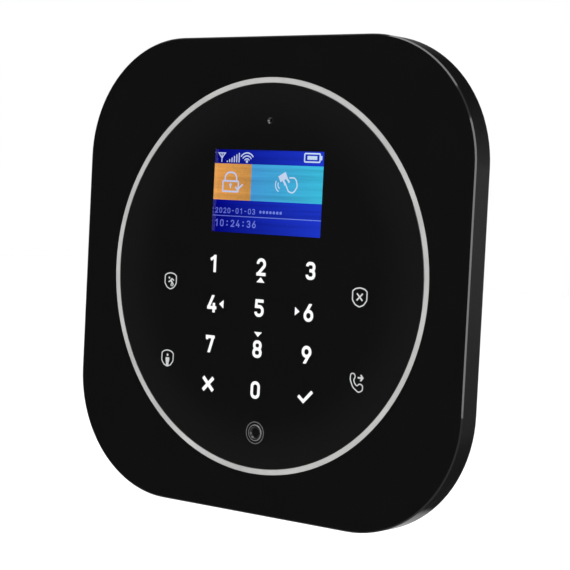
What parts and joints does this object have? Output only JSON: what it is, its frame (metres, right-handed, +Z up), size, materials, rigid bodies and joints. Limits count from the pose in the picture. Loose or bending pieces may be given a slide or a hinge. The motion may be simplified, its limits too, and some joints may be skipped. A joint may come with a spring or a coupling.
{
  "type": "alarm keypad panel",
  "caption": "Wall-hung touch keypad panel with a rounded-square gloss front, a lit ring, a small colour display and a sprung round button.",
  "frame": {"origin": "middle of the wall bracket's wall face", "axes": "+Z up, +X to the right as seen from the room, +Y into the wall; the front faces -Y"},
  "size_m": [0.17, 0.02, 0.168],
  "materials": {
    "gloss_black": "gloss",
    "matte_black": "fine texture",
    "frosted_guide": "frosted",
    "clear_window": "clear",
    "display_glass": "gloss",
    "steel": "plated",
    "bracket_steel": "zinc plated",
    "circuit_board": "solder mask",
    "led": "gloss",
    "black_rubber": "matte",
    "copper": "bare copper",
    "component_black": "moulded",
    "ribbon_film": "amber film",
    "connector_white": "moulded",
    "battery_wrap": "foil",
    "lead_red": "insulation"
  },
  "bodies": {
    "wall_bracket": {"wall_bracket": "bracket_steel"},
    "panel": {"front_frame": "gloss_black", "light_guide_ring": "frosted_guide", "touch_lens": "gloss_black", "display_window": "clear_window", "rear_cover": "matte_black", "case_screws": "steel", "carrier_screws": "steel", "board_screws": "steel", "carrier_frame": "matte_black", "ring_led_board": "circuit_board", "ring_leds": "led", "lens_gasket": "black_rubber", "key_diffuser": "frosted_guide", "touch_board": "circuit_board", "key_leds": "led", "rfid_antenna": "copper", "lcd_panel": "display_glass", "lcd_backlight": "steel", "microphone_boot": "black_rubber", "microphone": "component_black", "button_bezel": "gloss_black", "button_switch_body": "component_black", "button_board": "circuit_board", "button_board_posts": "component_black", "main_board": "circuit_board", "gsm_module": "steel", "wifi_module": "steel", "processor": "component_black", "radio_module": "circuit_board", "radio_coil_antenna": "copper", "gsm_antenna": "copper", "lcd_ribbon": "ribbon_film", "lcd_ribbon_connector": "connector_white", "touch_ribbon": "ribbon_film", "touch_ribbon_connector": "connector_white", "battery_pack": "battery_wrap", "battery_plug": "connector_white", "battery_leads": "lead_red", "siren_seal": "black_rubber", "siren": "matte_black", "tamper_switch": "component_black", "tamper_spring": "steel", "power_switch_body": "component_black", "sim_socket": "component_black", "usb_shell": "steel", "usb_tongue": "component_black"},
    "home_button": {"button_cap": "gloss_black", "button_switch_plunger": "component_black"},
    "tamper": {"tamper_plunger": "matte_black"},
    "power_knob": {"power_switch_knob": "matte_black"},
    "sim": {"sim_card": "connector_white"}
  },
  "joints": [
    {"name": "panel_lift", "type": "slide", "parent": "wall_bracket", "child": "panel", "axis": [0, 0, 1], "range_m": [0, 0.008]},
    {"name": "home_button_press", "type": "slide", "parent": "panel", "child": "home_button", "axis": [0, 1, 0], "range_m": [0, 0.0006], "stiffness_N_per_m": 1500, "springref_m": -0.0004},
    {"name": "tamper_press", "type": "slide", "parent": "panel", "child": "tamper", "axis": [0, -1, 0], "range_m": [0, 0.0015], "stiffness_N_per_m": 300, "springref_m": -0.001, "deforming": ["tamper_spring"]},
    {"name": "power_switch_slide", "type": "slide", "parent": "panel", "child": "power_knob", "axis": [1, 0, 0], "range_m": [0, 0.002]},
    {"name": "sim_card_slide", "type": "slide", "parent": "panel", "child": "sim", "axis": [-1, 0, 0], "range_m": [0, 0.012]}
  ]
}
